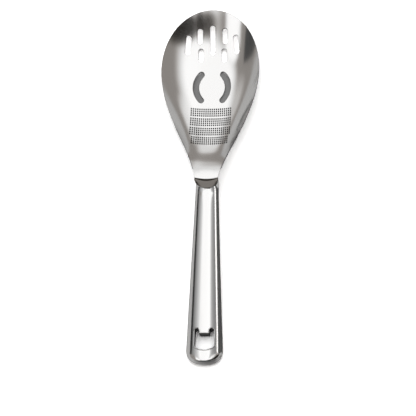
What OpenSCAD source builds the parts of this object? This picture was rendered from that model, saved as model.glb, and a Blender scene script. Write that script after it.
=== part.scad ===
// Multi-purpose serving spoon of stainless steel, lying on a table with its bowl open upwards.
// Units are millimetres. +Y runs along the spoon to the tip, +Z is up, X = 0 is its plane of symmetry.
// The origin is on the table, below the middle of the spoon's length and width.

/* [Overall] */
// Length from the end of the handle to the tip of the bowl
length = 340; // [325:1:360]

/* [Bowl] */
// Length of the bowl, from the crease at its neck to the tip
bowl_l = 172.5; // [169:0.5:177]
// Width of the bowl at its widest
bowl_w = 92; // [86:1:98]
// Length of the rounded front of the bowl, from its widest place to the tip
bowl_front_l = 63; // [58:1:67]
// Thickness of the bowl's sheet
sheet_t = 1.2; // [1:0.1:1.5]
// Height of the rim above the table at the tip
tip_z = 15; // [13:0.5:17]
// Height of the rim above the table at the widest place
side_z = 22; // [20:0.5:24]
// Height of the neck above the table
neck_z = 29.5; // [28:0.5:32]
// Width of the sheet at the crease
neck_w = 22; // [21.6:0.1:22.6]
// Height of the neck's turned-up edges above its middle
neck_rise = 1; // [0.6:0.1:1.4]

/* [Tail] */
// Length of the rounded tail that is bent down onto the handle
tail_l = 7.2; // [6.6:0.1:8]
// How far the tail comes down from the neck
tail_drop = 4.8; // [4.4:0.1:5.2]
// How far the tail's side edges turn down over the handle
tail_hug = 1.4; // [1:0.1:1.8]

/* [Draining slots] */
// Width of the draining slots
slot_w = 4.8; // [4.6:0.1:5.2]
// Length of the long slot in the middle
centre_slot_l = 27.3; // [25:0.1:29]
// Distance from the tip to the middle of the long slot
centre_slot_at = 27.5; // [26.5:0.5:29]
// Length of the two outer slots
outer_slot_l = 17.8; // [16:0.1:19]
// Distance from the tip to the middle of the outer slots
outer_slot_at = 33.2; // [32.2:0.1:34.4]
// Distance from the middle of the spoon to the outer slots
outer_slot_x = 22.9; // [22:0.1:23.6]
// Lean of the outer slots, in degrees
outer_slot_lean = 5.5; // [4:0.5:7]
// Length of the two upper inner slots
upper_slot_l = 14; // [12:0.5:14.5]
// Distance from the tip to the middle of the upper inner slots
upper_slot_at = 24; // [23.4:0.1:24.6]
// Distance from the middle of the spoon to the upper inner slots
upper_slot_x = 11.9; // [11.4:0.1:12.4]
// Length of the two lower inner slots
lower_slot_l = 12.8; // [11.2:0.1:13.4]
// Distance from the tip to the middle of the lower inner slots
lower_slot_at = 41.9; // [41.4:0.1:43]
// Distance from the middle of the spoon to the lower inner slots
lower_slot_x = 11; // [10.6:0.1:11.6]
// Lean of the inner slots, in degrees
inner_slot_lean = 1.5; // [0:0.5:3]

/* [Egg separator] */
// Distance from the tip to the middle of the two curved slots
egg_at = 73.4; // [72.6:0.1:74.2]
// Width of the curved slots
egg_slot_w = 5.8; // [5.4:0.1:6.2]
// Radius of the curved slots along their middle
egg_r = 19.4; // [18.8:0.1:20.2]
// Distance between the middles of the two curved slots
egg_gap = 30.2; // [29.4:0.1:31.2]
// Half the angle that each curved slot turns through, in degrees
egg_turn = 41.7; // [38:0.1:43]

/* [Grater] */
// Distance from the tip to the first row of holes
grater_at = 95.7; // [95:0.1:97]
// Diameter of the grater's holes
grater_d = 1.2; // [1:0.05:1.3]
// Distance between the columns of holes
column_pitch = 1.94; // [1.84:0.02:2]
// Distance between the rows of holes in a band
row_pitch = 2.25; // [2.1:0.05:2.35]
// Distance between the bands of holes
band_pitch = 10.1; // [9.8:0.1:10.4]
// Number of columns of holes
grater_columns = 20; // [16:2:20]
// Number of rows in a band
band_rows = 4; // [3:1:4]
// Number of bands
grater_bands = 4; // [2:1:4]

/* [Handle] */
// Width of the handle's nose, below the neck
nose_w = 21.4; // [20.8:0.1:21.8]
// Width of the handle at its wide end
handle_w = 33.4; // [32:0.2:35]
// Length of the rounded end of the handle
end_round_l = 14; // [12:0.5:15]
// Length of the rounded front of the nose
nose_l = 6; // [5:0.5:7]
// How far the nose reaches past the crease
nose_reach = 6; // [5.5:0.5:7]
// Thickness of the handle's two pressed shells
shell_t = 0.8; // [0.7:0.05:1]
// Height of the front shell above the seam at the nose
front_h_nose = 5.6; // [5.3:0.1:5.9]
// Height of the front shell above the seam at the wide end
front_h_end = 8.6; // [8.2:0.1:9]
// Depth of the back shell below the seam at the nose
back_h_nose = 5; // [4.6:0.1:5.4]
// Depth of the back shell below the seam at the wide end
back_h_end = 5.6; // [5.2:0.1:6]
// Height of the front panel's crown at the wide end
crown_h = 4.2; // [3.8:0.1:4.6]

/* [Opener] */
// Width of the opener's opening
opening_w = 17.8; // [17.2:0.1:18.4]
// Length of the opening, from the tops of its notches to its lower edge
opening_l = 19.2; // [18.2:0.1:20.2]
// Distance from the end of the handle to the lower edge of the opening
opening_at = 12.3; // [11.7:0.1:13.7]
// Width of the notches beside the tab
notch_w = 4.2; // [3.9:0.1:4.5]
// Length of the tab that lifts the cap
tab_l = 4.6; // [4.2:0.1:5]
// Radius of the opening's lower corners
opening_r = 3.6; // [3.2:0.1:4]
// How far the opening's lower edge bows out
opening_sag = 1.4; // [1.1:0.1:1.7]
// Wall of the liner that is welded into the opening
liner_t = 1; // [0.8:0.1:1.2]

/* [Weld] */
// Diameter of the weld bead between the nose and the neck
bead_d = 2.4; // [2.1:0.1:2.7]

/* [Hidden] */
steel = [0.78, 0.78, 0.77];
polished_steel = [0.84, 0.84, 0.83];

// Gap left between welded pieces, so that they touch without cutting into each other
seat_gap = 0.06;
// Step over which the slope of a surface is measured
slope_step = 0.05;
// How far a cutter runs past the sheet that it cuts
overrun = 6;

// Places along Y
tip_y = length / 2;
end_y = -length / 2;
neck_y = tip_y - bowl_l;
wide_y = tip_y - bowl_front_l;
back_l = wide_y - neck_y;
tail_end_y = neck_y - tail_l;

// Three curves of the bowl, from its widest place (0) back to the crease (1).
// Its width, as shares of the way from the neck's width to the bowl's width:
flare_shares = [[0, 1], [0.15, 0.953], [0.3, 0.838], [0.45, 0.665], [0.6, 0.452],
                [0.75, 0.236], [0.88, 0.084], [1, 0]];
// the height of its floor, as shares of the way up to the neck:
floor_shares = [[0, 0], [0.2, 0.02], [0.4, 0.11], [0.6, 0.31], [0.72, 0.51],
                [0.84, 0.78], [0.93, 0.95], [1, 1]];
// and the height of its rim, as shares of the way from the widest place up to the neck:
rim_shares = [[0, 0], [0.45, 0.01], [0.6, 0.05], [0.72, 0.17], [0.84, 0.5], [0.93, 0.84], [1, 1]];
// Steepness of the bowl's wall: 2 is a parabola
wall_power_share = 2.4;
// Softness of the bend at the crease, as a share of the tail's length
bend_share = 0.3;
// Places of the grid's rows from the crease to the widest place, close together at the neck
row_shares = [1, 0.98, 0.955, 0.92, 0.875, 0.82, 0.76, 0.69, 0.62, 0.55, 0.48, 0.4, 0.31, 0.21,
              0.1, 0];

// Numbers of facets
bowl_columns = 16;
bowl_front_rows = 8;
tail_rows = 4;
slot_facets = 16;
hole_facets = 4;

function clamp01(t) = min(max(t, 0), 1);
function ease(t) = let (c = clamp01(t)) c * c * (3 - 2 * c);
function blend(a, b, t) = a + (b - a) * t;
function soft_min(a, b, r) = (a + b - sqrt((a - b) * (a - b) + r * r)) / 2;
// Zero that turns softly, over c on both sides of t = 0, into a straight rise
function ramp(t, c) = t < -c ? 0 : t < c ? (t + c) * (t + c) / (4 * c) : t;

// Slope at point i of a list of [place, value] points: level at both ends, central between them
function knot_slope(pts, i) =
    i <= 0 || i >= len(pts) - 1 ? 0
    : (pts[i + 1][1] - pts[i - 1][1]) / (pts[i + 1][0] - pts[i - 1][0]);

// Smooth curve through the points, read at place t
function through(pts, t, i = 0) =
    i < len(pts) - 2 && t > pts[i + 1][0] ? through(pts, t, i + 1)
    : let (
        w = pts[i + 1][0] - pts[i][0],
        s = clamp01((t - pts[i][0]) / w),
        a = knot_slope(pts, i) * w,
        b = knot_slope(pts, i + 1) * w,
        rise = pts[i + 1][1] - pts[i][1]
    )
    pts[i][1] + s * (a + s * (3 * rise - 2 * a - b + s * (a + b - 2 * rise)));

// A square, a and b from -1 to 1, drawn out to a disc (k = 2) or a rounder square (k above 2)
function disc_x(a, b, k) = a * pow(1 - pow(abs(b), k) / 2, 1 / k);
function disc_y(a, b, k) = b * pow(1 - pow(abs(a), k) / 2, 1 / k);

// How far a place lies behind the widest place, as a share of the way to the crease
function back_share(y) = (wide_y - y) / back_l;
// How far a place lies behind the crease, as a share of the tail's length
function tail_share(y) = (neck_y - y) / tail_l;

// Half of the bowl's width behind its widest place
function bowl_half(y) = blend(neck_w / 2, bowl_w / 2, through(flare_shares, back_share(y)));

// Heights of the sheet's upper face, along the middle and at the rim, behind the widest place
function floor_z(y) = blend(sheet_t, neck_z, through(floor_shares, back_share(y)));
function rim_z(y) = blend(side_z, neck_z + neck_rise, through(rim_shares, back_share(y)));
function side_rise(y) =
    rim_z(y) - floor_z(y) - (neck_rise + tail_hug) * ease(tail_share(y) + bend_share);

// Height of the sheet's upper face over any point of the bowl
function sheet_z(x, y) =
    y > wide_y
    ? let (
        v = (y - wide_y) / bowl_front_l,
        u = 2 * x / bowl_w,
        rim = blend(side_z, tip_z, v * v) - sheet_t
    )
    sheet_t + rim * pow(sqrt(u * u + v * v), wall_power_share)
    : floor_z(y) - tail_drop * ramp(tail_share(y), bend_share)
      + side_rise(y) * pow(abs(x) / bowl_half(y), wall_power_share);

// Point of the sheet's upper face
function upper(x, y) = [x, y, sheet_z(x, y)];
// Slope of the upper face, as the lean of its normal
function lean(x, y) = [
    (sheet_z(x - slope_step, y) - sheet_z(x + slope_step, y)) / (2 * slope_step),
    (sheet_z(x, y - slope_step) - sheet_z(x, y + slope_step)) / (2 * slope_step),
    1
];
// Point square below it, at depth d under the upper face
function under(x, y, d) = upper(x, y) - lean(x, y) * d / norm(lean(x, y));
// Point of the lower face straight below: at the rim the sheet is trimmed upright
function below(x, y) = upper(x, y) - [0, 0, sheet_t * norm(lean(x, y))];

// Plan places of the sheet's grid, from the tail to the tip
bowl_plan = [
    for (i = [tail_rows : -1 : 1])
        [for (j = [0 : bowl_columns]) let (a = 2 * j / bowl_columns - 1, b = i / tail_rows)
            [neck_w / 2 * disc_x(a, b, 2), neck_y - tail_l * disc_y(a, b, 2)]],
    for (s = row_shares)
        [for (j = [0 : bowl_columns]) let (a = 2 * j / bowl_columns - 1, y = wide_y - back_l * s)
            [a * bowl_half(y), y]],
    for (i = [1 : bowl_front_rows])
        [for (j = [0 : bowl_columns]) let (a = 2 * j / bowl_columns - 1, b = i / bowl_front_rows)
            [bowl_w / 2 * disc_x(a, b, 2), wide_y + bowl_front_l * disc_y(a, b, 2)]]
];

// Closed solid between two grids of points with the same rows and columns.
// The first grid is the outside seen from above, with rows along +Y and columns along +X.
module skin(top, bottom) {
    rows = len(top);
    cols = len(top[0]);
    count = rows * cols;
    edge = concat(
        [for (j = [0 : cols - 2]) j],
        [for (i = [0 : rows - 2]) i * cols + cols - 1],
        [for (j = [cols - 1 : -1 : 1]) (rows - 1) * cols + j],
        [for (i = [rows - 1 : -1 : 1]) i * cols]
    );
    polyhedron(
        points = concat([for (r = top) each r], [for (r = bottom) each r]),
        faces = concat(
            [for (i = [0 : rows - 2], j = [0 : cols - 2], h = [0, 1])
                let (p = i * cols + j, q = p + cols)
                h == 0 ? [p, q, q + 1] : [p, q + 1, p + 1]],
            [for (i = [0 : rows - 2], j = [0 : cols - 2], h = [0, 1])
                let (p = count + i * cols + j, q = p + cols)
                h == 0 ? [p, q + 1, q] : [p, p + 1, q + 1]],
            [for (k = [0 : len(edge) - 1], h = [0, 1])
                let (p = edge[k], q = edge[(k + 1) % len(edge)])
                h == 0 ? [p, q, q + count] : [p, q + count, p + count]]
        )
    );
}

// Cutter for a straight slot with round ends, through the sheet
module slot_cut(x, at, l, lean) {
    y = tip_y - at;
    translate([x, y, sheet_z(x, y) - overrun])
        rotate([0, 0, -lean])
            hull()
                for (s = [-1, 1])
                    translate([0, s * (l - slot_w) / 2, 0])
                        cylinder(d = slot_w, h = 2 * overrun, $fn = slot_facets);
}

// Cutter for the curved slot on the right of the egg separator, as a chain of short stretches
egg_steps = 6;
module egg_cut() {
    y = tip_y - egg_at;
    x = egg_gap / 2 - egg_r;
    for (i = [0 : egg_steps - 1])
        hull()
            for (k = [0, 1]) {
                turn = egg_turn * (2 * (i + k) / egg_steps - 1);
                translate([x + egg_r * cos(turn), y + egg_r * sin(turn), -overrun])
                    cylinder(d = egg_slot_w, h = 3 * overrun, $fn = slot_facets);
            }
}

// Cutters for the grater's bands of small holes. The last band has a few columns less.
last_band_less = 2;
module grater_cut() {
    for (band = [0 : grater_bands - 1], row = [0 : band_rows - 1]) {
        columns = band < grater_bands - 1 ? grater_columns : grater_columns - last_band_less;
        y = tip_y - grater_at - band * band_pitch - row * row_pitch;
        for (c = [0 : columns - 1]) {
            x = (c - (columns - 1) / 2) * column_pitch;
            translate([x, y, sheet_z(x, y) - overrun / 2])
                cylinder(d = grater_d, h = overrun, $fn = hole_facets);
        }
    }
}

module bowl() {
    last = len(bowl_plan) - 1;
    color(steel)
        difference() {
            skin(
                [for (r = bowl_plan) [for (p = r) upper(p[0], p[1])]],
                [for (i = [0 : last]) [for (j = [0 : bowl_columns]) let (p = bowl_plan[i][j])
                    i == 0 || i == last || j == 0 || j == bowl_columns
                    ? below(p[0], p[1]) : under(p[0], p[1], sheet_t)]]
            );
            slot_cut(0, centre_slot_at, centre_slot_l, 0);
            for (s = [-1, 1]) {
                slot_cut(s * outer_slot_x, outer_slot_at, outer_slot_l, -s * outer_slot_lean);
                slot_cut(s * upper_slot_x, upper_slot_at, upper_slot_l, -s * inner_slot_lean);
                slot_cut(s * lower_slot_x, lower_slot_at, lower_slot_l, -s * inner_slot_lean);
            }
            egg_cut();
            mirror([1, 0, 0]) egg_cut();
            grater_cut();
        }
}

// The handle's two shells share one seam. Places along the handle:
nose_start_y = neck_y + nose_reach - nose_l;
end_start_y = end_y + end_round_l;
handle_run = tail_end_y - end_start_y;
// How late the handle widens
widen_power_share = 1.04;
// Way down of the seam from the tail (0) to the rounded end (1)
seam_shares = [[0, 0], [0.25, 0.17], [0.5, 0.43], [0.75, 0.74], [1, 1]];
// Squareness of the rounded end and nose
square_share = 2.5;
// Share of the half width that the front panel covers, and of the rounded end's length
panel_share = 0.76;
panel_end_share = 0.93;
// Softness of the front panel's edge, as a share of the shell's height
edge_soft_share = 0.1;
// Roundness of the back shell
back_round_share = 3;

// The handle keeps its nose's size below the tail and widens behind it
function run_share(y) = clamp01((tail_end_y - y) / handle_run);
function handle_half(y) = blend(nose_w, handle_w, pow(run_share(y), widen_power_share)) / 2;
// The seam lies so deep below the tail that the front panel meets the tail's lower face
seam_nose_z = below(0, tail_end_y)[2] - seat_gap - front_h_nose;
function seam_z(y) = blend(seam_nose_z, back_h_end, through(seam_shares, run_share(y)));
function front_h(y) =
    y < tail_end_y ? blend(front_h_nose, front_h_end, run_share(y))
    : max(front_h_nose, below(0, y)[2] - seat_gap - seam_nose_z);
function back_h(y) = blend(back_h_nose, back_h_end, run_share(y));

// Rise of the front shell above the seam, 0 at the seam and 1 in the middle.
// a runs across from -1 to 1, and b from -1 at the nose over 0 along the handle to 1 at the end.
function front_profile(a, b) =
    let (
        drop = crown_h / front_h_end,
        flank = (1 - abs(a)) / (1 - panel_share),
        ends = (1 - abs(b)) / (1 - panel_end_share),
        crown = 1 - drop * pow(a / panel_share, 2)
    )
    max(0, soft_min(soft_min(flank, ends, edge_soft_share), crown, edge_soft_share));
function back_profile(a, b) =
    -pow((1 - pow(abs(a), back_round_share)) * (1 - pow(abs(b), back_round_share)),
         1 / back_round_share);

// One point of a shell, drawn in by a wall t (0 for the outer face). side is 1 in front, -1 behind.
function shell_point(a, b, y0, side, t) =
    let (
        half = handle_half(y0) - t,
        reach = b > 0 ? end_round_l - t : nose_l - t,
        x = half * disc_x(a, b, square_share),
        y = b > 0 ? end_start_y - reach * disc_y(a, b, square_share)
            : b < 0 ? nose_start_y - reach * disc_y(a, b, square_share) : y0,
        z = side > 0
            ? (front_h(y) - t) * front_profile(a, b)
            : (back_h(y) - t) * back_profile(a, b)
    )
    [x, y, seam_z(y) + z];

// Places of the shells' grids: across, at the rounded end and nose, and along the handle
across_shares = [1, 0.9, 0.8, 0.76, 0.7, 0.5, 0.26, 0];
end_shares = [1, 0.97, 0.93, 0.88, 0.5];
across = concat([for (a = across_shares) -a],
                [for (i = [len(across_shares) - 2 : -1 : 0]) across_shares[i]]);
run_rows = 6;
// Rows between the nose and the end of the tail, where the front shell follows it
tail_run_rows = 3;
// One row lies just in front of the opener's opening, so that the liner ends on it
opener_row_y = end_y + opening_at + opening_l + 2 * liner_t;
run_places = concat(
    [end_start_y],
    [for (i = [run_rows : -1 : 1]) blend(tail_end_y, opener_row_y, i / run_rows)],
    [for (i = [tail_run_rows : -1 : 0]) blend(nose_start_y, tail_end_y, i / tail_run_rows)]
);

function shell_grid(side, t) = concat(
    [for (b = end_shares) [for (a = across) shell_point(a, b, end_start_y, side, t)]],
    [for (y = run_places) [for (a = across) shell_point(a, 0, y, side, t)]],
    [for (i = [len(end_shares) - 1 : -1 : 0])
        [for (a = across) shell_point(a, -end_shares[i], nose_start_y, side, t)]]
);

// Shape of the opening, grown outwards by g: an upright leg below each notch, and between them
// a body in short stretches, whose lower edge bows out
bow_steps = 6;
opening_facets = 20;
module opening_shape(g) {
    top_y = end_y + opening_at + opening_l;
    body_y = top_y - tab_l - opening_r;
    corner_x = opening_w / 2 - opening_r;
    for (s = [-1, 1])
        hull()
            for (y = [body_y, top_y - notch_w / 2])
                translate([s * (opening_w - notch_w) / 2, y])
                    circle(d = notch_w + 2 * g, $fn = opening_facets);
    for (i = [0 : bow_steps - 1])
        hull()
            for (k = [i, i + 1]) {
                share = 2 * k / bow_steps - 1;
                bow_y = end_y + opening_at + opening_r + opening_sag * share * share;
                for (y = [body_y, bow_y])
                    translate([share * corner_x, y])
                        circle(r = opening_r + g, $fn = opening_facets);
            }
}

module opening_cut() {
    translate([0, 0, -overrun])
        linear_extrude(height = neck_z + overrun)
            opening_shape(liner_t + seat_gap);
}

module handle_front_shell() {
    color(polished_steel)
        difference() {
            skin(shell_grid(1, 0), shell_grid(1, shell_t));
            opening_cut();
        }
}

module handle_back_shell() {
    color(polished_steel)
        difference() {
            skin(shell_grid(-1, shell_t), shell_grid(-1, 0));
            opening_cut();
        }
}

// Part of a shell's outer face round the opening
liner_across = [for (a = across) if (abs(a) < panel_share) a];
function face_round_opening(side) = [
    [for (a = liner_across) shell_point(a, end_shares[len(end_shares) - 1], end_start_y, side, 0)],
    [for (a = liner_across) shell_point(a, 0, run_places[0], side, 0)],
    [for (a = liner_across) shell_point(a, 0, run_places[1], side, 0)]
];

// The liner is a tube round the opening that ends flush with the outer faces of both shells
module opening_liner() {
    color(polished_steel)
        intersection() {
            skin(face_round_opening(1), face_round_opening(-1));
            linear_extrude(height = neck_z)
                difference() {
                    opening_shape(liner_t);
                    opening_shape(0);
                }
        }
}

// Weld bead round the front of the nose, in the corner below the neck of the bowl
bead_steps = 10;
bead_facets = 8;
bead_share = 0.6;
// How far the middle of the bead lies out from the nose
bead_out = bead_d / 2 + seat_gap;
// How high up the nose's front the bead lies, as a share of its height: the front leans back there
bead_level_share = 0.7;
bead_ring = 1 - bead_level_share * (1 - panel_end_share);
function bead_at(t) =
    let (
        a = blend(-bead_share, bead_share, t),
        x = (nose_w / 2 + bead_out) * disc_x(a, bead_ring, square_share),
        y = nose_start_y + (nose_l + bead_out) * disc_y(a, bead_ring, square_share)
    )
    upper(x, y) - [0, 0, (sheet_t + 2 * seat_gap + bead_d / 2) * norm(lean(x, y))];
module neck_weld() {
    color(steel)
        for (i = [0 : bead_steps - 1])
            hull()
                for (k = [i, i + 1])
                    translate(bead_at(k / bead_steps)) sphere(d = bead_d, $fn = bead_facets);
}

bowl();
handle_front_shell();
handle_back_shell();
opening_liner();
neck_weld();
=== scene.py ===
import math

import bpy
from mathutils import Matrix, Vector


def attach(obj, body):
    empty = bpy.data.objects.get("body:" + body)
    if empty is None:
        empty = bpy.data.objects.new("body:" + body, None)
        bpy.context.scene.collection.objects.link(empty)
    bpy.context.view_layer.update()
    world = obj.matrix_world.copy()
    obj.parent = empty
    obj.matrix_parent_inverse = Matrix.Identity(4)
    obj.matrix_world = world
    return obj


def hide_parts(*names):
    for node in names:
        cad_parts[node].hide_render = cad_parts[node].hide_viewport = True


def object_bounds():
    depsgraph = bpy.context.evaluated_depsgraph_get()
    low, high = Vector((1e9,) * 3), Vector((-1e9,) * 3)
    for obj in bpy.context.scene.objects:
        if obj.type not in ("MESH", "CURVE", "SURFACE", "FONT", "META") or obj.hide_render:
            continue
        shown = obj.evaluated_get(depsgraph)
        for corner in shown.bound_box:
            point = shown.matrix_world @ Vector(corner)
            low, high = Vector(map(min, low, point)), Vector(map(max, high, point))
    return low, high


# The CAD model is the frame: its box is kept, and every piece replaces its own node.
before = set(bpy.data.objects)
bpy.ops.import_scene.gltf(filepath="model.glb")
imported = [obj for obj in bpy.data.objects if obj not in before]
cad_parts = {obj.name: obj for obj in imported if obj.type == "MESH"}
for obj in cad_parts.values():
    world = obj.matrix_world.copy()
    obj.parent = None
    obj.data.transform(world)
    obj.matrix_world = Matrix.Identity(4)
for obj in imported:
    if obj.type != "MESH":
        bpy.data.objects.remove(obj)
cad_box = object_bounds()

# Sizes
# Lengths of the object are in millimetres, as in the construction, and become metres here.
MM = 0.001

low, high = (corner / MM for corner in cad_box)
length = round(high.y - low.y, 1)
tip_y = length / 2
end_y = -length / 2

# Bowl
bowl_l = 172.5
bowl_w = 92
bowl_front_l = 63
sheet_t = 1.2
tip_z = 15
side_z = 22
neck_z = 29.5
neck_w = 22
neck_rise = 1
tail_l = 7.2
tail_drop = 4.8
tail_hug = 1.4

# Draining slots: place of the middle behind the tip, length, place across, lean in degrees
slot_w = 4.8
centre_slot = (27.5, 27.3, 0, 0)
outer_slot = (33.2, 17.8, 22.9, 5.5)
upper_slot = (24, 14, 11.9, 1.5)
lower_slot = (41.9, 12.8, 11, 1.5)

# Curved slots of the egg separator
egg_at = 73.4
egg_slot_w = 5.8
egg_r = 19.4
egg_gap = 30.2
egg_turn = 41.7

# Grater
grater_at = 95.7
grater_w = 1.2
grater_l = 1.7
column_pitch = 1.94
row_pitch = 2.25
band_pitch = 10.1
grater_columns = 20
band_rows = 4
grater_bands = 4
last_band_less = 2

# Handle
nose_w = 21.4
handle_w = 33.4
end_round_l = 14
nose_l = 6
nose_reach = 6
shell_t = 0.8
front_h_nose = 5.6
front_h_end = 8.6
back_h_nose = 5
back_h_end = 5.6
crown_h = 4.2

# Bottle opener
opening_w = 17.8
opening_l = 19.2
opening_at = 12.3
notch_w = 4.2
tab_l = 4.6
opening_r = 3.6
opening_sag = 1.4
liner_t = 1
lip_h = 0.3

# Weld bead below the neck
bead_d = 2.4
bead_share = 0.6
bead_level_share = 0.7

# Gap between parts that are seated on each other, and the reach of cutters past a wall
seat_gap = 0.06
overrun = 6
bead_out = bead_d / 2 + seat_gap

# Softened edges where the sheet and the liner are cut
cut_bevel = 0.3
lip_bevel = 0.42

# Meshes: points nearer than this are one, and faces that meet below the angle look smooth
merge_gap = 0.002
smooth_degrees = 34
slot_sides = 30
corner_sides = 32
arc_steps = 24

# Places along Y
neck_y = tip_y - bowl_l
wide_y = tip_y - bowl_front_l
back_l = wide_y - neck_y
tail_end_y = neck_y - tail_l
nose_start_y = neck_y + nose_reach - nose_l
end_start_y = end_y + end_round_l
handle_run = tail_end_y - end_start_y

# Curves of the form: width, floor and rim of the bowl, and the fall of the handle's seam
flare_shares = [(0, 1), (0.15, 0.953), (0.3, 0.838), (0.45, 0.665), (0.6, 0.452),
                (0.75, 0.236), (0.88, 0.084), (1, 0)]
floor_shares = [(0, 0), (0.2, 0.02), (0.4, 0.11), (0.6, 0.31), (0.72, 0.51),
                (0.84, 0.78), (0.93, 0.95), (1, 1)]
rim_shares = [(0, 0), (0.45, 0.01), (0.6, 0.05), (0.72, 0.17), (0.84, 0.5), (0.93, 0.84), (1, 1)]
seam_shares = [(0, 0), (0.25, 0.17), (0.5, 0.43), (0.75, 0.74), (1, 1)]
wall_power = 2.4
bend_share = 0.3
widen_power = 1.04
square_power = 2.5
panel_share = 0.76
panel_end_share = 0.86
ring_share = 0.93
edge_soft_share = 0.1
back_round_power = 3


# Form of the spoon
def clamp01(t):
    return min(max(t, 0), 1)


def ease(t):
    c = clamp01(t)
    return c * c * (3 - 2 * c)


def blend(a, b, t):
    return a + (b - a) * t


def soft_min(a, b, r):
    return (a + b - math.sqrt((a - b) ** 2 + r * r)) / 2


def soft_ramp(t, c):
    """Zero that turns softly, over c on both sides of t = 0, into a straight rise."""
    if t < -c:
        return 0
    return (t + c) ** 2 / (4 * c) if t < c else t


def through(points, t):
    """Smooth curve through the points, read at t, level at both ends."""
    last = len(points) - 2
    i = 0
    while i < last and t > points[i + 1][0]:
        i += 1
    (x0, y0), (x1, y1) = points[i], points[i + 1]

    def slope(k):
        if k in (0, len(points) - 1):
            return 0
        return (points[k + 1][1] - points[k - 1][1]) / (points[k + 1][0] - points[k - 1][0])

    w = x1 - x0
    s = clamp01((t - x0) / w)
    a, b, rise = slope(i) * w, slope(i + 1) * w, y1 - y0
    return y0 + s * (a + s * (3 * rise - 2 * a - b + s * (a + b - 2 * rise)))


def disc_x(a, b, k):
    return a * (1 - abs(b) ** k / 2) ** (1 / k)


def disc_y(a, b, k):
    return b * (1 - abs(a) ** k / 2) ** (1 / k)


def bowl_half(y):
    return blend(neck_w / 2, bowl_w / 2, through(flare_shares, (wide_y - y) / back_l))


def sheet_z(x, y):
    """Height of the bowl's upper face."""
    if y > wide_y:
        v = (y - wide_y) / bowl_front_l
        u = 2 * x / bowl_w
        rim = blend(side_z, tip_z, v * v) - sheet_t
        return sheet_t + rim * math.hypot(u, v) ** wall_power
    share = (wide_y - y) / back_l
    tail = (neck_y - y) / tail_l
    floor = blend(sheet_t, neck_z, through(floor_shares, share))
    rim = blend(side_z, neck_z + neck_rise, through(rim_shares, share))
    rise = rim - floor - (neck_rise + tail_hug) * ease(tail + bend_share)
    return floor - tail_drop * soft_ramp(tail, bend_share) + rise * (abs(x) / bowl_half(y)) ** wall_power


def upper(x, y):
    return Vector((x, y, sheet_z(x, y)))


def lean(x, y, step=0.05):
    """Direction square to the bowl's upper face, with a height of 1."""
    return Vector(((sheet_z(x - step, y) - sheet_z(x + step, y)) / (2 * step),
                   (sheet_z(x, y - step) - sheet_z(x, y + step)) / (2 * step), 1))


def under(x, y, depth):
    return upper(x, y) - lean(x, y).normalized() * depth


def below(x, y):
    return upper(x, y) - Vector((0, 0, sheet_t * lean(x, y).length))


def run_share(y):
    return clamp01((tail_end_y - y) / handle_run)


def handle_half(y):
    return blend(nose_w, handle_w, run_share(y) ** widen_power) / 2


seam_nose_z = below(0, tail_end_y).z - seat_gap - front_h_nose


def seam_z(y):
    return blend(seam_nose_z, back_h_end, through(seam_shares, run_share(y)))


def front_h(y):
    if y < tail_end_y:
        return blend(front_h_nose, front_h_end, run_share(y))
    return max(front_h_nose, below(0, y).z - seat_gap - seam_nose_z)


def back_h(y):
    return blend(back_h_nose, back_h_end, run_share(y))


def front_profile(a, b):
    """Rise of the front shell: a crowned panel, sloping flanks and a rounded end."""
    across, along = abs(a) ** square_power, abs(b) ** square_power
    out = max(0, across + along - across * along) ** (1 / square_power)
    at_end = along / max(across + along, 1e-6)
    edge = 1 - crown_h / front_h_end
    slope = blend(edge / (1 - panel_share), 1 / (1 - panel_end_share), at_end)
    crown = 1 - (1 - edge) * (a / panel_share) ** 2
    return max(0, soft_min(slope * (1 - out), crown, edge_soft_share))


def back_profile(a, b):
    k = back_round_power
    return -max(0, (1 - abs(a) ** k) * (1 - abs(b) ** k)) ** (1 / k)


def shell_point(a, b, y0, side, t):
    """Point of a handle shell, drawn in by a wall t. side is 1 in front and -1 behind."""
    half = handle_half(y0) - t
    reach = end_round_l - t if b > 0 else nose_l - t
    x = half * disc_x(a, b, square_power)
    y = y0
    if b > 0:
        y = end_start_y - reach * disc_y(a, b, square_power)
    if b < 0:
        y = nose_start_y - reach * disc_y(a, b, square_power)
    if side > 0:
        z = (front_h(y) - t) * front_profile(a, b)
    else:
        z = (back_h(y) - t) * back_profile(a, b)
    return Vector((x, y, seam_z(y) + z))


# Modelling by hand
def deselect_all():
    bpy.ops.object.select_all(action="DESELECT")


def pick(piece):
    deselect_all()
    piece.select_set(True)
    bpy.context.view_layer.objects.active = piece


def settle(piece):
    """Puts a piece's place, turn and scale into its mesh."""
    pick(piece)
    bpy.ops.object.transform_apply(location=True, rotation=True, scale=True)


def apply_modifier(piece, kind, **settings):
    pick(piece)
    modifier = piece.modifiers.new(kind.lower(), kind)
    for key, value in settings.items():
        setattr(modifier, key, value)
    bpy.ops.object.modifier_apply(modifier=modifier.name)


def boolean(piece, operation, cutter, keep=False):
    apply_modifier(piece, "BOOLEAN", operation=operation, object=cutter, solver="MANIFOLD")
    if not keep:
        bpy.data.objects.remove(cutter, do_unlink=True)


def soften_edges(piece, width, segments, from_degrees):
    """Bevels every edge whose faces meet at more than the angle."""
    apply_modifier(piece, "BEVEL", width=width * MM, segments=segments, limit_method="ANGLE",
                   angle_limit=math.radians(from_degrees), use_clamp_overlap=False)


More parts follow.
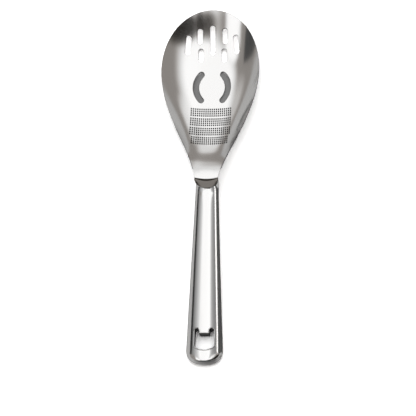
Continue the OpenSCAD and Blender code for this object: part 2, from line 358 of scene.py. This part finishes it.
def drawn_sheet(name, columns, rows, place):
    """A square grid, extruded to a closed slab, whose points are then drawn to the form."""
    deselect_all()
    bpy.ops.mesh.primitive_grid_add(x_subdivisions=columns, y_subdivisions=rows, size=2)
    piece = bpy.context.object
    piece.name = name
    bpy.ops.object.mode_set(mode="EDIT")
    bpy.ops.mesh.select_all(action="SELECT")
    bpy.ops.mesh.extrude_region_move(TRANSFORM_OT_translate={"value": (0, 0, -1)})
    bpy.ops.mesh.select_all(action="SELECT")
    bpy.ops.mesh.normals_make_consistent(inside=False)
    bpy.ops.object.mode_set(mode="OBJECT")
    for vertex in piece.data.vertices:
        a, b, layer = vertex.co
        vertex.co = place(a, b, layer < -0.5) * MM
    return piece


def finish_normals(piece):
    pick(piece)
    bpy.ops.object.mode_set(mode="EDIT")
    bpy.ops.mesh.select_all(action="SELECT")
    bpy.ops.mesh.remove_doubles(threshold=merge_gap * MM)
    bpy.ops.mesh.normals_make_consistent(inside=False)
    bpy.ops.object.mode_set(mode="OBJECT")
    bpy.ops.object.shade_smooth_by_angle(angle=math.radians(smooth_degrees))


# Bowl
bowl_columns = 64
bowl_tail_rows = 8
bowl_back_rows = 92
bowl_front_rows = 52
bowl_rows = bowl_tail_rows + bowl_back_rows + bowl_front_rows
edge_place = 0.9999


def bowl_plan(a, b):
    """Plan place of the bowl's grid, from the tail (b = -1) to the tip (b = 1)."""
    row = (b + 1) / 2 * bowl_rows
    if row < bowl_tail_rows:
        out = 1 - row / bowl_tail_rows
        return neck_w / 2 * disc_x(a, out, 2), neck_y - tail_l * disc_y(a, out, 2)
    row -= bowl_tail_rows
    if row < bowl_back_rows:
        y = blend(neck_y, wide_y, row / bowl_back_rows)
        return a * bowl_half(y), y
    out = (row - bowl_back_rows) / bowl_front_rows
    return bowl_w / 2 * disc_x(a, out, 2), wide_y + bowl_front_l * disc_y(a, out, 2)


def bowl_point(a, b, lower):
    x, y = bowl_plan(a, b)
    if not lower:
        return upper(x, y)
    at_rim = abs(a) > edge_place or abs(b) > edge_place
    return below(x, y) if at_rim else under(x, y, sheet_t)


def straight_slot(slot, side):
    """Cutter for a slot with round ends: a cylinder, one half of it pulled away."""
    at, slot_l, x, tilt = slot
    y = tip_y - at
    deselect_all()
    bpy.ops.mesh.primitive_cylinder_add(
        vertices=slot_sides, radius=slot_w / 2 * MM, depth=2 * overrun * MM)
    cutter = bpy.context.object
    pull = (slot_l - slot_w) * MM
    for vertex in cutter.data.vertices:
        vertex.co.y += pull / 2 if vertex.co.y > 0 else -pull / 2
    cutter.rotation_euler.z = math.radians(side * tilt)
    cutter.location = (side * x * MM, y * MM, sheet_z(x, y) * MM)
    settle(cutter)
    return cutter


def curved_slot(side):
    """Cutter for a curved slot: a slab spun round the arc's centre, with a post at each end."""
    centre = Vector((side * (egg_gap / 2 - egg_r), tip_y - egg_at, 0)) * MM
    turn = math.radians(egg_turn)
    height = 4 * overrun * MM
    deselect_all()
    bpy.ops.mesh.primitive_plane_add(size=1, rotation=(math.radians(90), 0, 0))
    cutter = bpy.context.object
    settle(cutter)
    cutter.scale = (egg_slot_w * MM, 1, height)
    cutter.location.x = egg_r * MM
    settle(cutter)
    cutter.rotation_euler.z = -turn
    settle(cutter)
    bpy.ops.object.mode_set(mode="EDIT")
    bpy.ops.mesh.select_all(action="SELECT")
    bpy.ops.mesh.spin(steps=arc_steps, angle=-2 * turn, center=(0, 0, 0), axis=(0, 0, 1))
    bpy.ops.mesh.select_all(action="SELECT")
    bpy.ops.mesh.fill_holes(sides=4)
    bpy.ops.mesh.remove_doubles(threshold=merge_gap * MM)
    bpy.ops.mesh.normals_make_consistent(inside=False)
    bpy.ops.object.mode_set(mode="OBJECT")
    for end in (-1, 1):
        deselect_all()
        spot = Vector((math.cos(turn), end * math.sin(turn), 0)) * egg_r * MM
        bpy.ops.mesh.primitive_cylinder_add(
            vertices=slot_sides, radius=egg_slot_w / 2 * MM, depth=height, location=spot)
        post = bpy.context.object
        settle(post)
        boolean(cutter, "UNION", post)
    if side < 0:
        cutter.scale.x = -1
        settle(cutter)
        finish_normals(cutter)
    cutter.location = centre
    settle(cutter)
    return cutter


def grater_holes(columns, first_band, bands):
    """Cutter for bands of small holes: one post, repeated across, along and band by band."""
    first_y = tip_y - grater_at - first_band * band_pitch
    deselect_all()
    bpy.ops.mesh.primitive_cube_add(size=1)
    cutter = bpy.context.object
    cutter.scale = (grater_w * MM, grater_l * MM, neck_z * 2 * MM)
    cutter.location = (-(columns - 1) / 2 * column_pitch * MM, first_y * MM, neck_z / 2 * MM)
    settle(cutter)
    for count, step in ((columns, (column_pitch, 0, 0)), (band_rows, (0, -row_pitch, 0)),
                        (bands, (0, -band_pitch, 0))):
        apply_modifier(cutter, "ARRAY", count=count, use_relative_offset=False,
                       use_constant_offset=True, constant_offset_displace=Vector(step) * MM)
    return cutter


def make_bowl():
    """Pressed sheet with its slots, whose edges are softened, and then the grater's sharp holes."""
    piece = drawn_sheet("bowl_sheet", bowl_columns, bowl_rows, bowl_point)
    cutters = [straight_slot(centre_slot, 1)]
    for side in (-1, 1):
        cutters += [straight_slot(slot, side) for slot in (outer_slot, upper_slot, lower_slot)]
        cutters.append(curved_slot(side))
    for cutter in cutters:
        boolean(piece, "DIFFERENCE", cutter)
    finish_normals(piece)
    soften_edges(piece, cut_bevel, segments=2, from_degrees=50)
    for cutter in (grater_holes(grater_columns, 0, grater_bands - 1),
                   grater_holes(grater_columns - last_band_less, grater_bands - 1, 1)):
        boolean(piece, "DIFFERENCE", cutter)
    finish_normals(piece)
    return piece


# Handle
shell_columns = 44
shell_end_rows = 18
shell_run_rows = 70
shell_nose_rows = 10
shell_rows = shell_end_rows + shell_run_rows + shell_nose_rows

# The columns round the middle, as a share of all, and the share of the width that they cover
middle_share = 0.3
middle_place = 0.6


def spread(share):
    """Places across: wide apart on the panel's middle, close together near the shell's edge."""
    side = abs(share)
    if side < middle_share:
        placed = side / middle_share * middle_place
    else:
        placed = blend(middle_place, 1, (side - middle_share) / (1 - middle_share))
    return math.copysign(placed, share)


def shell_place(side):
    """Gives the function that draws a grid to a shell's outer and inner faces."""
    def place(a, b, lower):
        wall = shell_t if lower == (side > 0) else 0
        across = spread(a)
        row = (b + 1) / 2 * shell_rows
        if row < shell_end_rows:
            out = spread(1 - row / shell_end_rows)
            return shell_point(across, out, end_start_y, side, wall)
        row -= shell_end_rows
        if row < shell_run_rows:
            y = blend(end_start_y, nose_start_y, row / shell_run_rows)
            return shell_point(across, 0, y, side, wall)
        out = spread((row - shell_run_rows) / shell_nose_rows)
        return shell_point(across, -out, nose_start_y, side, wall)
    return place


def post_hull(places, radius):
    """One convex stretch of a cutter: upright posts at the places, wrapped in their hull."""
    deselect_all()
    posts = []
    for x, y in places:
        bpy.ops.mesh.primitive_cylinder_add(
            vertices=corner_sides, radius=radius * MM, depth=4 * overrun * MM,
            location=(x * MM, y * MM, overrun * MM))
        posts.append(bpy.context.object)
    for post in posts:
        post.select_set(True)
    bpy.context.view_layer.objects.active = posts[0]
    bpy.ops.object.join()
    stretch = bpy.context.object
    settle(stretch)
    bpy.ops.object.mode_set(mode="EDIT")
    bpy.ops.mesh.select_all(action="SELECT")
    bpy.ops.mesh.convex_hull()
    bpy.ops.mesh.normals_make_consistent(inside=False)
    bpy.ops.object.mode_set(mode="OBJECT")
    return stretch


def opening_form(grow, bow_steps=8):
    """Cutter with the opening's outline, grown outwards: two legs, and a body that bows down."""
    top_y = end_y + opening_at + opening_l
    body_y = top_y - tab_l - opening_r
    corner_x = opening_w / 2 - opening_r
    leg_x = (opening_w - notch_w) / 2
    form = post_hull([(-leg_x, body_y), (-leg_x, top_y - notch_w / 2)], notch_w / 2 + grow)
    leg = post_hull([(leg_x, body_y), (leg_x, top_y - notch_w / 2)], notch_w / 2 + grow)
    stretches = [leg]
    for i in range(bow_steps):
        spots = []
        for k in (i, i + 1):
            share = 2 * k / bow_steps - 1
            bow_y = end_y + opening_at + opening_r + opening_sag * share * share
            spots += [(share * corner_x, body_y), (share * corner_x, bow_y)]
        stretches.append(post_hull(spots, opening_r + grow))
    for stretch in stretches:
        boolean(form, "UNION", stretch)
    return form


def make_shell(name, side, opening):
    """Half of the hollow handle, cut out for the liner. The cutter stays for the other half."""
    piece = drawn_sheet(name, shell_columns, shell_rows, shell_place(side))
    boolean(piece, "DIFFERENCE", opening, keep=True)
    finish_normals(piece)
    return piece


# Liner: its block runs up both shells by liner_run. Below the grid place liner_bend it follows
# their rounded end, by liner_end_share of the way.
liner_columns = 24
liner_rows = 30
liner_run = 22
liner_bend = -0.6
liner_end_share = 0.34


def make_liner():
    """Tube round the opening, whose rounded lip stands a little proud of the front shell."""
    front_y = end_start_y + liner_run

    def place(a, b, lower):
        side, proud = (-1, 0) if lower else (1, lip_h)
        if b < liner_bend:
            out = liner_end_share * (liner_bend - b) / (liner_bend + 1)
            return shell_point(a * panel_share, out, end_start_y, side, -proud)
        y = blend(end_start_y, front_y, (b - liner_bend) / (1 - liner_bend))
        return shell_point(a * panel_share, 0, y, side, -proud)

    piece = drawn_sheet("opening_lip", liner_columns, liner_rows, place)
    boolean(piece, "INTERSECT", opening_form(liner_t))
    boolean(piece, "DIFFERENCE", opening_form(0))
    finish_normals(piece)
    soften_edges(piece, lip_bevel, segments=4, from_degrees=60)
    finish_normals(piece)
    return piece


# Weld bead: points round and along, and the ripples of its passes
weld_segments = 20
weld_rings = 90
weld_ripples = 13
ripple_middle = 0.9
ripple_depth = 0.08
weld_end_steepness = 6


def make_weld():
    """Bead of weld metal: a ball drawn out round the nose, with the ripples of its passes."""
    deselect_all()
    bpy.ops.mesh.primitive_uv_sphere_add(segments=weld_segments, ring_count=weld_rings, radius=1)
    piece = bpy.context.object
    piece.name = "neck_weld_bead"
    ring = 1 - bead_level_share * (1 - ring_share)
    step = 0.01
    pole = 1e-4

    def centre(share):
        a = blend(-bead_share, bead_share, share)
        x = (nose_w / 2 + bead_out) * disc_x(a, ring, square_power)
        y = nose_start_y + (nose_l + bead_out) * disc_y(a, ring, square_power)
        depth = (sheet_t + 2 * seat_gap + bead_d / 2) * lean(x, y).length
        return upper(x, y) - Vector((0, 0, depth))

    for vertex in piece.data.vertices:
        across, up, along = vertex.co
        share = (along + 1) / 2
        middle = centre(share)
        forward = (centre(clamp01(share + step)) - centre(clamp01(share - step))).normalized()
        sideways = forward.cross(Vector((0, 0, 1))).normalized()
        upright = sideways.cross(forward)
        ripple = ripple_middle + ripple_depth * math.sin(share * 2 * math.pi * weld_ripples)
        ends = min(1, weld_end_steepness * math.sqrt(max(0, share * (1 - share))))
        full = bead_d / 2 * ripple * ends
        out = math.hypot(across, up)
        at = middle + (sideways * across + upright * up) / max(out, pole) * full
        vertex.co = (at if out > pole else middle) * MM
    finish_normals(piece)
    return piece


# Materials
def new_group(name, inputs, outputs):
    tree = bpy.data.node_groups.new(name, "ShaderNodeTree")
    for label, value in inputs:
        socket = tree.interface.new_socket(name=label, in_out="INPUT", socket_type="NodeSocketFloat")
        socket.default_value = value
    for label in outputs:
        kind = "NodeSocketColor" if label == "Tone" else "NodeSocketFloat"
        tree.interface.new_socket(name=label, in_out="OUTPUT", socket_type=kind)
    return tree, tree.nodes.new("NodeGroupInput"), tree.nodes.new("NodeGroupOutput")


def feed(tree, socket, value):
    """Links another node's output to a socket, or sets the socket to a number or a colour."""
    if isinstance(value, bpy.types.NodeSocket):
        tree.links.new(value, socket)
    else:
        socket.default_value = value


def math_node(tree, operation, *values, clamp=False):
    node = tree.nodes.new("ShaderNodeMath")
    node.operation = operation
    node.use_clamp = clamp
    for socket, value in zip(node.inputs, values):
        feed(tree, socket, value)
    return node.outputs[0]


def mix_node(tree, factor, a, b, kind="FLOAT", blend_type="MIX"):
    node = tree.nodes.new("ShaderNodeMix")
    node.data_type = kind
    node.blend_type = blend_type
    for label, value in (("Factor", factor), ("A", a), ("B", b)):
        feed(tree, node.inputs[label], value)
    return node.outputs["Result"]


def smooth_step(tree, value, start, full):
    """0 up to start, 1 from full on, and a soft slope between them."""
    node = tree.nodes.new("ShaderNodeMapRange")
    node.interpolation_type = "SMOOTHSTEP"
    feed(tree, node.inputs["Value"], value)
    feed(tree, node.inputs["From Min"], start)
    feed(tree, node.inputs["From Max"], full)
    return node.outputs[0]


def brushed_grain():
    """Fine lines of the brush, which run along the spoon."""
    tree, given, made = new_group("brushed_grain", [("Lines", 2600), ("Stretch", 40)], ["Grain"])
    place = tree.nodes.new("ShaderNodeTexCoord")
    along = math_node(tree, "DIVIDE", given.outputs["Lines"], given.outputs["Stretch"])
    scale = tree.nodes.new("ShaderNodeCombineXYZ")
    tree.links.new(given.outputs["Lines"], scale.inputs["X"])
    tree.links.new(along, scale.inputs["Y"])
    tree.links.new(given.outputs["Lines"], scale.inputs["Z"])
    stretched = tree.nodes.new("ShaderNodeVectorMath")
    stretched.operation = "MULTIPLY"
    tree.links.new(place.outputs["Object"], stretched.inputs[0])
    tree.links.new(scale.outputs[0], stretched.inputs[1])
    noise = tree.nodes.new("ShaderNodeTexNoise")
    noise.inputs["Scale"].default_value = 1
    noise.inputs["Detail"].default_value = 3
    noise.inputs["Roughness"].default_value = 0.62
    tree.links.new(stretched.outputs[0], noise.inputs["Vector"])
    tree.links.new(noise.outputs["Fac"], made.inputs["Grain"])
    return tree


def handling_marks():
    """Soft smudges of handling, and sparse hairline scratches that cross the brush lines."""
    tree, given, made = new_group(
        "handling_marks", [("Smudge Size", 38), ("Scratch Lines", 900), ("Scratches", 0.5)],
        ["Smudge", "Scratch"])
    place = tree.nodes.new("ShaderNodeTexCoord")
    smudge = tree.nodes.new("ShaderNodeTexNoise")
    smudge.inputs["Detail"].default_value = 4
    smudge.inputs["Roughness"].default_value = 0.55
    tree.links.new(place.outputs["Object"], smudge.inputs["Vector"])
    tree.links.new(given.outputs["Smudge Size"], smudge.inputs["Scale"])
    turned = tree.nodes.new("ShaderNodeMapping")
    turned.inputs["Rotation"].default_value = (0, 0, math.radians(34))
    turned.inputs["Scale"].default_value = (1, 0.04, 1)
    tree.links.new(place.outputs["Object"], turned.inputs["Vector"])
    scratch = tree.nodes.new("ShaderNodeTexNoise")
    scratch.inputs["Detail"].default_value = 1
    tree.links.new(turned.outputs[0], scratch.inputs["Vector"])
    tree.links.new(given.outputs["Scratch Lines"], scratch.inputs["Scale"])
    sparse = tree.nodes.new("ShaderNodeMapRange")
    sparse.inputs["From Min"].default_value = 0.7
    sparse.inputs["From Max"].default_value = 0.8
    tree.links.new(scratch.outputs["Fac"], sparse.inputs["Value"])
    lines = math_node(tree, "MULTIPLY", sparse.outputs[0], given.outputs["Scratches"])
    tree.links.new(smudge.outputs["Fac"], made.inputs["Smudge"])
    tree.links.new(lines, made.inputs["Scratch"])
    return tree


def steel_tone():
    """Slight change of the steel's grey, from a cooler to a warmer tone, by a mask."""
    least_warmth = 0.2
    tree, given, made = new_group("steel_tone", [("Mask", 0.5), ("Grey", 0.7), ("Warmth", 0.5)],
                                  ["Tone"])
    cool = tree.nodes.new("ShaderNodeCombineColor")
    warm = tree.nodes.new("ShaderNodeCombineColor")
    for node, shares in ((cool, (0.985, 0.985, 0.985)), (warm, (1.0, 0.985, 0.965))):
        for channel, share in zip(("Red", "Green", "Blue"), shares):
            part = math_node(tree, "MULTIPLY", given.outputs["Grey"], share)
            tree.links.new(part, node.inputs[channel])
    factor = math_node(tree, "MULTIPLY_ADD", given.outputs["Mask"], given.outputs["Warmth"],
                       least_warmth, clamp=True)
    tone = mix_node(tree, factor, cool.outputs[0], warm.outputs[0], "RGBA")
    tree.links.new(tone, made.inputs["Tone"])
    return tree


GRAIN, MARKS, TONE = brushed_grain(), handling_marks(), steel_tone()


def place_group(tree, group, **values):
    node = tree.nodes.new("ShaderNodeGroup")
    node.node_tree = group
    for label, value in values.items():
        node.inputs[label.replace("_", " ")].default_value = value
    return node


def steel(name, grey, roughness, grain_rough, grain_depth, lines, stretch, smudge_rough, scratches,
          mirrored_shade=1):
    """Stainless steel whose finish is set by its brush lines, its smudges and its scratches."""
    # The depth of the grain is in millimetres, and the last argument is painted shade: it darkens the
    # steel's colour where metal mirrors it
    scratch_rough = 0.12
    material = bpy.data.materials.new(name)
    material.use_nodes = True
    tree = material.node_tree
    shader = tree.nodes["Principled BSDF"]
    shader.inputs["Metallic"].default_value = 1
    grain = place_group(tree, GRAIN, Lines=lines, Stretch=stretch)
    marks = place_group(tree, MARKS, Scratches=scratches)
    tone = place_group(tree, TONE, Grey=grey)
    tree.links.new(marks.outputs["Smudge"], tone.inputs["Mask"])
    path = tree.nodes.new("ShaderNodeLightPath")
    dimmed = (mirrored_shade, mirrored_shade, mirrored_shade, 1)
    colour = mix_node(tree, path.outputs["Is Glossy Ray"], tone.outputs["Tone"], dimmed, "RGBA",
                      "MULTIPLY")
    tree.links.new(colour, shader.inputs["Base Color"])
    rough = roughness - grain_rough / 2 - smudge_rough / 2
    for source, share in ((grain.outputs["Grain"], grain_rough),
                          (marks.outputs["Smudge"], smudge_rough),
                          (marks.outputs["Scratch"], scratch_rough)):
        rough = math_node(tree, "MULTIPLY_ADD", source, share, rough, clamp=True)
    tree.links.new(rough, shader.inputs["Roughness"])
    height = math_node(tree, "SUBTRACT", grain.outputs["Grain"], marks.outputs["Scratch"])
    bump = tree.nodes.new("ShaderNodeBump")
    bump.inputs["Strength"].default_value = 1
    bump.inputs["Distance"].default_value = grain_depth * MM
    tree.links.new(height, bump.inputs["Height"])
    tree.links.new(bump.outputs["Normal"], shader.inputs["Normal"])
    return material


# The bowl's satin steel is darkened with painted shade where metal mirrors it
SATIN = steel("satin_steel", grey=0.68, roughness=0.12, grain_rough=0.06, grain_depth=0.004,
              lines=2600, stretch=40, smudge_rough=0.06, scratches=0.3, mirrored_shade=0.6)
POLISHED = steel("polished_steel", grey=0.7, roughness=0.13, grain_rough=0.05, grain_depth=0.0015,
                 lines=3200, stretch=60, smudge_rough=0.06, scratches=0.5)
WELD = steel("weld_steel", grey=0.6, roughness=0.34, grain_rough=0.2, grain_depth=0.03,
             lines=1400, stretch=2, smudge_rough=0.2, scratches=0.2)
# Cut walls have a rough finish, and their dark grey is painted shade: the shadow inside the slots and
# holes and under the rim. The opening's inner walls get darker painted shade still.
CUT_WALL_SHADE = steel("cut_wall_painted_shade", grey=0.1, roughness=0.42, grain_rough=0.2, grain_depth=0.01,
            lines=1400, stretch=4, smudge_rough=0.1, scratches=0.1)
OPENING_WALL_SHADE = steel("opening_wall_painted_shade", grey=0.05, roughness=0.42, grain_rough=0.2, grain_depth=0.01,
             lines=1400, stretch=4, smudge_rough=0.1, scratches=0.1)


# The five pieces. A face is a cut wall where the cosine between it and the sheet is below these,
# and it belongs to the rim from this share of the way out.
rim_place = 0.985
rim_wall_cos = 0.97
slot_wall_cos = 0.9
liner_wall_cos = 0.6


def bowl_cut_wall(face):
    """Faces cut through the pressed sheet: the walls of its slots and holes, and its rim."""
    x, y, _ = face.center / MM
    out = abs(x) / bowl_half(y)
    if y > wide_y:
        out = math.hypot(2 * x / bowl_w, (y - wide_y) / bowl_front_l)
    square = abs(face.normal.dot(lean(x, y).normalized()))
    return square < (rim_wall_cos if out > rim_place else slot_wall_cos)


def liner_cut_wall(face):
    return abs(face.normal.z) < liner_wall_cos


def dress(piece, node, material, cut_wall=None, cut=CUT_WALL_SHADE):
    """Gives a piece its steel and its place in the frame. Faces that cut_wall names get the cut steel,
    whose dark grey is painted shade.
    """
    piece.data.materials.clear()
    piece.data.materials.append(material)
    if cut_wall:
        piece.data.materials.append(cut)
        for face in piece.data.polygons:
            face.material_index = 1 if cut_wall(face) else 0
    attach(piece, "root")
    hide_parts(node)


dress(make_bowl(), "bowl", SATIN, bowl_cut_wall)
wide_opening = opening_form(liner_t + seat_gap)
dress(make_shell("handle_front", 1, wide_opening), "handle_front_shell", POLISHED)
dress(make_shell("handle_back", -1, wide_opening), "handle_back_shell", POLISHED)
bpy.data.objects.remove(wide_opening, do_unlink=True)
dress(make_liner(), "opening_liner", POLISHED, liner_cut_wall, OPENING_WALL_SHADE)
dress(make_weld(), "neck_weld", WELD)


# Studio
def sky_direction(zenith, azimuth):
    """Unit vector: zenith is measured from straight up, azimuth from +X towards +Y, in degrees."""
    z, a = math.radians(zenith), math.radians(azimuth)
    return math.sin(z) * math.cos(a), math.sin(z) * math.sin(a), math.cos(z)


def make_world():
    """Soft studio light as a sky: each patch is painted, with a soft edge, over those before it."""
    world = bpy.data.worlds.new("studio")
    bpy.context.scene.world = world
    world.use_nodes = True
    tree = world.node_tree
    tree.nodes.clear()
    ray = tree.nodes.new("ShaderNodeTexCoord")
    low_level = 0.36
    patches = [
        # zenith, azimuth, inner and outer radius in degrees, brightness
        (66, 97, 10, 36, 1.0),
        (57, 97, 4, 10, 1.2),
        (66, 51, 5, 18, 1.05),
        (68, 138, 5, 20, 0.75),
        (180, 0, 99, 110, low_level),
        (20, 40, 22, 50, 1.45),
        (30, 120, 18, 38, 1.4),
        (43, 187, 10, 18, 1.45),
        (85, -90, 22, 34, 0.05),
        (34, -85, 18, 27, 0.05),
        (90, -66, 68, 73, 0.02),
        (24, -49, 5, 11, 0.03),
        (55, -97, 10, 17, 0.28),
    ]
    light = low_level
    for zenith, azimuth, inner, outer, brightness in patches:
        dot = tree.nodes.new("ShaderNodeVectorMath")
        dot.operation = "DOT_PRODUCT"
        dot.inputs[1].default_value = sky_direction(zenith, azimuth)
        tree.links.new(ray.outputs["Generated"], dot.inputs[0])
        inside = smooth_step(tree, dot.outputs["Value"], math.cos(math.radians(outer)),
                             math.cos(math.radians(inner)))
        light = mix_node(tree, inside, light, brightness)
    lit = tree.nodes.new("ShaderNodeBackground")
    # The dark parts of the studio are warmer than its lights
    clearness = math_node(tree, "SQRT", light, clamp=True)
    colour = mix_node(tree, clearness, (1, 0.84, 0.7, 1), (1, 1, 1, 1), "RGBA")
    tree.links.new(colour, lit.inputs["Color"])
    tree.links.new(light, lit.inputs["Strength"])
    white = tree.nodes.new("ShaderNodeBackground")
    white.inputs["Color"].default_value = (1, 1, 1, 1)
    path = tree.nodes.new("ShaderNodeLightPath")
    seen = tree.nodes.new("ShaderNodeMixShader")
    out = tree.nodes.new("ShaderNodeOutputWorld")
    tree.links.new(path.outputs["Is Camera Ray"], seen.inputs["Fac"])
    tree.links.new(lit.outputs[0], seen.inputs[1])
    tree.links.new(white.outputs[0], seen.inputs[2])
    tree.links.new(seen.outputs[0], out.inputs["Surface"])


def floor_oval(tree, middle, reach, softness):
    """Mask of a painted patch on the floor: 1 inside an oval, fading out towards its edge."""
    place = tree.nodes.new("ShaderNodeTexCoord")
    oval = tree.nodes.new("ShaderNodeMapping")
    oval.vector_type = "TEXTURE"
    oval.inputs["Location"].default_value = [v * MM for v in middle]
    oval.inputs["Scale"].default_value = [v * MM for v in reach]
    far = tree.nodes.new("ShaderNodeVectorMath")
    far.operation = "LENGTH"
    tree.links.new(place.outputs["Object"], oval.inputs["Vector"])
    tree.links.new(oval.outputs[0], far.inputs[0])
    return smooth_step(tree, far.outputs["Value"], 1, 1 - softness)


def make_floor():
    """Pale floor, shown to the camera so bright that only the deep contact shadows stay. Painted ovals
    add shade and light under the bowl, and shade in the metal's reflection of the floor.
    """
    floor_size = 8
    deselect_all()
    bpy.ops.mesh.primitive_plane_add(size=floor_size)
    floor = bpy.context.object
    floor.name = "floor"
    material = bpy.data.materials.new("pale_floor")
    material.use_nodes = True
    tree = material.node_tree
    tree.nodes.clear()
    path = tree.nodes.new("ShaderNodeLightPath")
    side = tree.nodes.new("ShaderNodeNewGeometry")
    plain = 0.8
    in_metal = 0.55
    in_view = 1.6
    # Painted ovals of the floor, each with a level of its own: middle, reach, softness and level
    # Painted shade in the metal: the floor that the handle's right flank and its end mirror is darkened
    painted_reflection_shade_ovals = [((42, -92, 0), (30, 100, 10), 0.3, 0.12), ((10, -205, 0), (60, 36, 10), 0.3, 0.12)]
    # Painted shade under the curved slots and the grater, and painted light under the draining slots,
    # seen through them
    painted_shade_and_light_ovals = [((0, 71, 0), (30, 48, 10), 0.1, 0.22), ((0, 54, 0), (24, 28, 10), 0.1, 0.04),
                  ((0, 141, 0), (32, 25, 10), 0.1, 2.1)]
    tone = plain
    for ray, clear_level, ovals in (("Is Glossy Ray", in_metal, painted_reflection_shade_ovals),
                                    ("Is Camera Ray", in_view, painted_shade_and_light_ovals)):
        level = clear_level
        for middle, reach, softness, painted_level in ovals:
            level = mix_node(tree, floor_oval(tree, middle, reach, softness), level, painted_level)
        tone = mix_node(tree, path.outputs[ray], tone, level)
    grey = tree.nodes.new("ShaderNodeCombineColor")
    for channel in ("Red", "Green", "Blue"):
        tree.links.new(tone, grey.inputs[channel])
    matt = tree.nodes.new("ShaderNodeBsdfDiffuse")
    clear = tree.nodes.new("ShaderNodeBsdfTransparent")
    above = tree.nodes.new("ShaderNodeMixShader")
    out = tree.nodes.new("ShaderNodeOutputMaterial")
    tree.links.new(grey.outputs[0], matt.inputs["Color"])
    tree.links.new(side.outputs["Backfacing"], above.inputs["Fac"])
    tree.links.new(matt.outputs[0], above.inputs[1])
    tree.links.new(clear.outputs[0], above.inputs[2])
    tree.links.new(above.outputs[0], out.inputs["Surface"])
    floor.data.materials.append(material)


def make_camera():
    """Camera at the photograph's viewing angle, turned so that the spoon lies upright in it."""
    azimuth, elevation, roll = (math.radians(v) for v in (19.91, 71.5, -19.38))
    distance = 1.6
    aim_z = 12
    focal_px = 1734.6
    frame_px = 416
    middle_px = Vector((208.27, 182.01))
    back = Vector((math.sin(azimuth) * math.cos(elevation),
                   -math.cos(azimuth) * math.cos(elevation), math.sin(elevation)))
    right = Vector((math.cos(azimuth), math.sin(azimuth), 0))
    up = back.cross(right)
    across = right * math.cos(roll) + up * math.sin(roll)
    upright = up * math.cos(roll) - right * math.sin(roll)
    # The frame's centre lies below the middle of the spoon, so the camera is turned that way.
    off = Vector((frame_px / 2, frame_px / 2)) - middle_px
    forward = (-back * focal_px + across * off.x - upright * off.y).normalized()
    across = (across - forward * across.dot(forward)).normalized()
    upright = across.cross(forward)
    data = bpy.data.cameras.new("camera")
    data.sensor_width = 36
    data.lens = focal_px / frame_px * data.sensor_width
    data.clip_end = 50
    camera = bpy.data.objects.new("camera", data)
    bpy.context.scene.collection.objects.link(camera)
    place = Vector((0, 0, aim_z * MM)) + back * distance
    turn = Matrix((across, upright, -forward)).transposed()
    camera.matrix_world = Matrix.Translation(place) @ turn.to_4x4()
    bpy.context.scene.camera = camera


def make_lamp(name, middle, facing, width, height, radiance, seen_in_metal):
    """Soft flat lamp, out of the camera's sight. Its width lies level."""
    data = bpy.data.lights.new(name, "AREA")
    data.shape = "RECTANGLE"
    data.size = width * MM
    data.size_y = height * MM
    data.energy = radiance * math.pi * data.size * data.size_y
    lamp = bpy.data.objects.new(name, data)
    bpy.context.scene.collection.objects.link(lamp)
    lamp.location = Vector(middle) * MM
    lamp.rotation_euler = Vector(facing).to_track_quat("-Z", "Y").to_euler()
    lamp.visible_camera = False
    lamp.visible_glossy = seen_in_metal


def make_card(name, x, y_span, z_span, tone, top_tone=None, bend=1):
    """Upright card beside the spoon that only the metal sees, plain or graded up to a top tone: a
    painted reflection, which lights and shades nothing else.
    """
    deselect_all()
    bpy.ops.mesh.primitive_plane_add(size=1, rotation=(0, math.radians(90), 0))
    card = bpy.context.object
    card.name = name
    settle(card)
    card.scale = (1, (y_span[1] - y_span[0]) * MM, (z_span[1] - z_span[0]) * MM)
    settle(card)
    card.location = Vector((x, sum(y_span) / 2, sum(z_span) / 2)) * MM
    settle(card)
    material = bpy.data.materials.new(name)
    material.use_nodes = True
    tree = material.node_tree
    tree.nodes.clear()
    shine = tree.nodes.new("ShaderNodeEmission")
    shine.inputs["Strength"].default_value = tone
    if top_tone is not None:
        place = tree.nodes.new("ShaderNodeTexCoord")
        parts = tree.nodes.new("ShaderNodeSeparateXYZ")
        share = tree.nodes.new("ShaderNodeMapRange")
        share.inputs["From Min"].default_value = z_span[0] * MM
        share.inputs["From Max"].default_value = z_span[1] * MM
        tree.links.new(place.outputs["Object"], parts.inputs[0])
        tree.links.new(parts.outputs["Z"], share.inputs["Value"])
        bent = math_node(tree, "POWER", share.outputs[0], bend)
        level = math_node(tree, "MULTIPLY_ADD", bent, top_tone - tone, tone)
        tree.links.new(level, shine.inputs["Strength"])
    out = tree.nodes.new("ShaderNodeOutputMaterial")
    tree.links.new(shine.outputs[0], out.inputs["Surface"])
    card.data.materials.append(material)
    card.visible_camera = False
    card.visible_diffuse = False
    card.visible_shadow = False
    card.visible_transmission = False


make_world()
make_floor()
make_lamp("handle_strip", middle=(150, -40, 68), facing=(-1, -0.3, -0.1), width=190, height=34,
          radiance=1.6, seen_in_metal=True)
make_lamp("plain_fill", middle=(0, 0, 1500), facing=(0, 0, -1), width=1500, height=1500,
          radiance=1.2, seen_in_metal=False)
# Painted shade: a dark card that the bowl's right wall mirrors near the tip
make_card("bowl_card", -200, y_span=(128, 176), z_span=(30, 114), tone=0.08)

# Beside the handle: its panel, right flank and left edge each mirror a card of their own. These are
# painted reflections: the dark cards paint shade on the flanks and the left edge, the graded ones a
# highlight across the panel.
right_span = (-140, 50)
make_card("panel_card", 150, y_span=right_span, z_span=(92, 300), tone=0.3, top_tone=1.2, bend=2)
make_card("right_flank_card", 150, y_span=right_span, z_span=(0, 49), tone=0.09)
left_span = (-145, 35)
make_card("left_edge_card", -150, y_span=left_span, z_span=(8, 52), tone=0.03)
make_card("left_panel_card", -150, y_span=left_span, z_span=(52, 270), tone=0.18, top_tone=1.35)

make_camera()
bpy.context.scene.view_settings.view_transform = "Standard"
